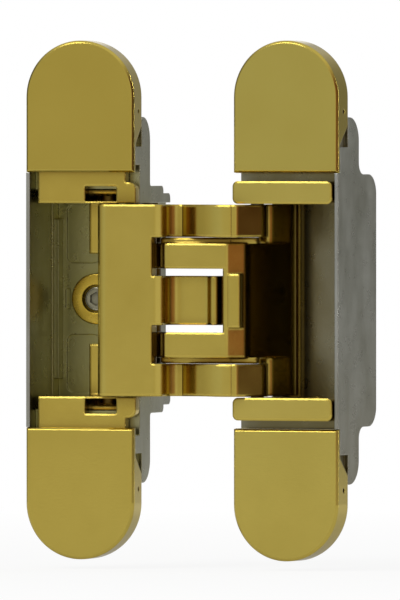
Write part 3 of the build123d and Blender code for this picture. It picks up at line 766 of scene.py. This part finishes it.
@dataclass
class FingerRamps(ArmFitting):
    """Two ramps that ease the rise from the outer fingers' scoops to their lands."""

    x_mm: tuple[float, float] = (22.8, 35.6)
    y_mm: tuple[float, float] = (-1.82, 4.0)
    z_mm: tuple[float, float] = (13.45, 20.25)
    crest_x_mm: float = 31.0
    fall_mm: float = 4.27
    crest_round_mm: float = 2.6
    crest_steps: int = 8
    pick_mm: float = 0.1

    def build(self, wardrobe: Wardrobe) -> None:
        """Build the ramps: blocks whose front falls back from a rounded crest.

        Args:
            wardrobe: Gives the ramps the frame arm's finish and body.
        """
        upper = self.start("finger_ramp_upper")
        crest = Vector((self.crest_x_mm, 0, 0)) * MM
        bpy.ops.mesh.bisect(plane_co=crest, plane_no=(1, 0, 0))
        front = self.y_mm[0] + self.pick_mm
        toe = self.x_mm[0] + self.pick_mm
        choose(upper, Pick.CORNERS, lambda place: place.x < toe and place.y < front)
        bpy.ops.transform.translate(value=(0, self.fall_mm * MM, 0))
        choose(
            upper,
            Pick.CORNERS,
            lambda place: abs(place.x - self.crest_x_mm) < self.pick_mm and place.y < front,
        )
        bpy.ops.mesh.bevel(
            offset=self.crest_round_mm * MM, segments=self.crest_steps, affect="EDGES"
        )
        self.seat(Arm.FRAME)
        for piece in (upper, self.copy_down(upper, "finger_ramp_lower")):
            wardrobe.dress_addition(piece, "frame_arm")


# The studio's walls by compass bearing, in degrees from straight ahead, right positive
ROOM_WALLS: tuple[tuple[float, str], ...] = (
    (-180, "#C4C4C2"),
    (-120, "#8A8A86"),
    (-96, "#6E6C62"),
    (-80, "#B6B4A8"),
    (-58, "#C4C4C0"),
    (-44, "#CCD2DC"),
    (-30, "#D4DAE6"),
    (-20, "#D0CCBE"),
    (0, "#D4D2C8"),
    (10, "#E6E6E8"),
    (23, "#E6E6E8"),
    (33, "#B08C7C"),
    (54, "#A07060"),
    (70, "#5A423A"),
    (100, "#40403E"),
    (128, "#62625E"),
    (150, "#8C8C86"),
    (170, "#A8A8A4"),
    (180, "#C4C4C2"),
)
CEILING = "#F2F2F0"
BACKDROP = "#FFFFFF"
PAPER = "#CFCFCD"


def paint_ramp(ramp: bpy.types.ColorRamp, stops: list[tuple[float, str]]) -> None:
    """Set a colour ramp's stops.

    Args:
        ramp: The ramp, with its two stops as made.
        stops: Place from nought to one and the hex colour there, in order.
    """
    while len(ramp.elements) < len(stops):
        ramp.elements.new(0.5)
    for element, (place, tone) in zip(ramp.elements, stops):
        element.position = place
        element.color = linear(tone)


def seen_directly(tree: bpy.types.NodeTree, path: bpy.types.Node) -> bpy.types.NodeSocket:
    """Tell the rays that see a surface straight or through glass from the rest.

    Args:
        tree: Node tree that gets the test.
        path: Its Light Path node.

    Returns:
        A socket that is one for such rays and nought for others.
    """
    either = add_node(
        tree,
        "ShaderNodeMath",
        {0: path.outputs["Is Camera Ray"], 1: path.outputs["Is Transmission Ray"]},
        operation="MAXIMUM",
    )
    return either.outputs["Value"]


@dataclass(frozen=True)
class Lamp:
    """A soft lamp that looks at the hinge: place and size in metres, power in watts."""

    name: str
    place: tuple[float, float, float]
    size: tuple[float, float]
    power: float

    def hang(self) -> None:
        """Hang the lamp in its place."""
        data = bpy.data.lights.new(self.name, "AREA")
        data.shape = "RECTANGLE"
        data.size, data.size_y = self.size
        data.energy = self.power
        lamp = bpy.data.objects.new(self.name, data)
        bpy.context.collection.objects.link(lamp)
        lamp.location = self.place
        lamp.rotation_euler = Vector(self.place).to_track_quat("Z", "Y").to_euler()


# A broad key high on the left, and a tall strip on the right that lights the leaf's outer side
LAMPS = (
    Lamp("key", (-0.5, -0.8, 0.9), (0.6, 0.6), 8.0),
    Lamp("strip", (0.93, 0.37, 0.1), (0.1, 0.9), 5.5),
)


@dataclass
class Studio:
    """Floor, lamps, room light and camera, all placed about the hinge.

    Angles are in degrees and lengths in metres, apart from those ending in _mm. The ceiling's
    span is by the height of the direction, and the sweep's by its cosine with the line of sight.
    The floor's glow is its lowest share of plain white, near the hinge, and its mirrored glow is
    the share that the metal sees.
    """

    yaw: float = 17.5
    pitch: float = 0.8
    distance: float = 4.0
    far_limit: float = 20.0
    sensor_mm: float = 36.0
    image_mm: float = 127.2
    centre_right_mm: float = 25.5
    ceiling_span: tuple[float, float] = (0.35, 0.8)
    sweep_span: tuple[float, float] = (0.95, 0.98)
    floor_z: float = -0.057
    floor_size: float = 1.6
    floor_fade: tuple[float, float] = (0.1, 0.5)
    floor_glow: float = 0.88
    mirrored_glow: float = 0.15

    def right(self) -> Vector:
        """Return the camera's right-hand direction in plan."""
        return Vector((cos(radians(self.yaw)), sin(radians(self.yaw)), 0))

    def towards_camera(self) -> Vector:
        """Return the direction from the hinge to the camera."""
        yaw, pitch = radians(self.yaw), radians(self.pitch)
        return Vector((sin(yaw) * cos(pitch), -cos(yaw) * cos(pitch), sin(pitch)))

    def place_camera(self) -> None:
        """Place the camera at the photograph's angle, behind a long lens."""
        data = bpy.data.cameras.new("camera")
        data.sensor_fit = "VERTICAL"
        data.sensor_height = self.sensor_mm
        data.lens = data.sensor_height * self.distance / (self.image_mm * MM)
        data.clip_end = self.far_limit
        camera = bpy.data.objects.new("camera", data)
        bpy.context.collection.objects.link(camera)
        target = self.right() * self.centre_right_mm * MM
        camera.location = target + self.towards_camera() * self.distance
        camera.rotation_euler = self.towards_camera().to_track_quat("Z", "Y").to_euler()
        bpy.context.scene.camera = camera
        LOG.info("camera behind a %.0f mm lens", data.lens)

    def light_room(self) -> None:
        """Light the room: a bright wall in front and on the left, a brown one on the right."""
        world = bpy.data.worlds.new("studio")
        bpy.context.scene.world = world
        tree = blank_tree(world)
        towards = add_node(tree, "ShaderNodeTexCoord").outputs["Generated"]
        parts = add_node(tree, "ShaderNodeSeparateXYZ", {"Vector": towards})
        ahead = add_node(
            tree, "ShaderNodeMath", {0: parts.outputs["Y"], 1: -1.0}, operation="MULTIPLY"
        )
        bearing = add_node(
            tree,
            "ShaderNodeMath",
            {0: parts.outputs["X"], 1: ahead.outputs["Value"]},
            operation="ARCTAN2",
        )
        turn = add_node(
            tree,
            "ShaderNodeMapRange",
            {"Value": bearing.outputs["Value"], "From Min": -pi, "From Max": pi},
        )
        walls = add_node(tree, "ShaderNodeValToRGB", {"Fac": turn.outputs["Result"]})
        paint_ramp(walls.color_ramp, [((deg + 180) / 360, tone) for deg, tone in ROOM_WALLS])
        low, high = self.ceiling_span
        rise = add_node(
            tree,
            "ShaderNodeMapRange",
            {"Value": parts.outputs["Z"], "From Min": low, "From Max": high},
        )
        room = add_node(
            tree,
            "ShaderNodeMix",
            {
                "Factor": rise.outputs["Result"],
                MIX_A: walls.outputs["Color"],
                MIX_B: linear(CEILING),
            },
            data_type="RGBA",
        )
        behind = add_node(
            tree,
            "ShaderNodeVectorMath",
            {0: towards, 1: tuple(-self.towards_camera())},
            operation="DOT_PRODUCT",
        )
        low, high = self.sweep_span
        sweep = add_node(
            tree,
            "ShaderNodeMapRange",
            {"Value": behind.outputs["Value"], "From Min": low, "From Max": high},
        )
        path = add_node(tree, "ShaderNodeLightPath")
        mirrored = add_node(
            tree,
            "ShaderNodeMath",
            {0: path.outputs["Is Glossy Ray"], 1: sweep.outputs["Result"]},
            operation="MULTIPLY",
        )
        backdrop = add_node(
            tree,
            "ShaderNodeMath",
            {0: seen_directly(tree, path), 1: mirrored.outputs["Value"]},
            operation="MAXIMUM",
        )
        shown = add_node(
            tree,
            "ShaderNodeMix",
            {
                "Factor": backdrop.outputs["Value"],
                MIX_A: room.outputs[MIX_OUT],
                MIX_B: linear(BACKDROP),
            },
            data_type="RGBA",
        )
        light = add_node(tree, "ShaderNodeBackground", {"Color": shown.outputs[MIX_OUT]})
        add_node(tree, "ShaderNodeOutputWorld", {"Surface": light.outputs["Background"]})

    def coat_floor(self) -> bpy.types.Material:
        """Make the floor's matt paper, which glows to white where the picture shows it.

        Returns:
            The finished material.
        """
        material = bpy.data.materials.new("matt_white_paper")
        tree = blank_tree(material)
        path = add_node(tree, "ShaderNodeLightPath")
        mirrored = add_node(
            tree,
            "ShaderNodeMath",
            {0: path.outputs["Is Glossy Ray"], 1: self.mirrored_glow},
            operation="MULTIPLY",
        )
        place = add_node(tree, "ShaderNodeNewGeometry").outputs["Position"]
        reach = add_node(tree, "ShaderNodeVectorMath", {0: place}, operation="LENGTH")
        near, far = self.floor_fade
        fade = add_node(
            tree,
            "ShaderNodeMapRange",
            {
                "Value": reach.outputs["Value"],
                "From Min": near,
                "From Max": far,
                "To Min": self.floor_glow,
            },
        )
        seen = add_node(
            tree,
            "ShaderNodeMath",
            {0: seen_directly(tree, path), 1: fade.outputs["Result"]},
            operation="MULTIPLY",
        )
        share = add_node(
            tree,
            "ShaderNodeMath",
            {0: seen.outputs["Value"], 1: mirrored.outputs["Value"]},
            operation="MAXIMUM",
        )
        paper = add_node(tree, "ShaderNodeBsdfDiffuse", {"Color": linear(PAPER)})
        glow = add_node(tree, "ShaderNodeEmission")
        blend = add_node(
            tree,
            "ShaderNodeMixShader",
            {0: share.outputs["Value"], 1: paper.outputs["BSDF"], 2: glow.outputs["Emission"]},
        )
        add_node(tree, "ShaderNodeOutputMaterial", {"Surface": blend.outputs["Shader"]})
        return material

    def lay_floor(self) -> None:
        """Lay a plain pale floor that keeps the hinge's shadow and fades into white."""
        bpy.ops.object.select_all(action="DESELECT")
        bpy.ops.mesh.primitive_plane_add(size=self.floor_size, location=(0, 0, self.floor_z))
        floor = bpy.context.object
        floor.name = "floor"
        floor.data.materials.append(self.coat_floor())

    def build(self) -> None:
        """Set up the whole studio."""
        bpy.context.scene.view_settings.view_transform = "Standard"
        self.lay_floor()
        self.light_room()
        for lamp in LAMPS:
            lamp.hang()
        self.place_camera()


def main() -> None:
    """Build the scene in order."""
    logging.basicConfig(level=logging.INFO, format="%(name)s: %(message)s")
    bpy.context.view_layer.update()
    wardrobe = Wardrobe.from_record()
    wardrobe.dress_nodes()
    ClampSet().build(wardrobe)
    SeamStrips().build(wardrobe)
    FingerRamps().build(wardrobe)
    Studio().build()


if __name__ == "__main__":
    main()
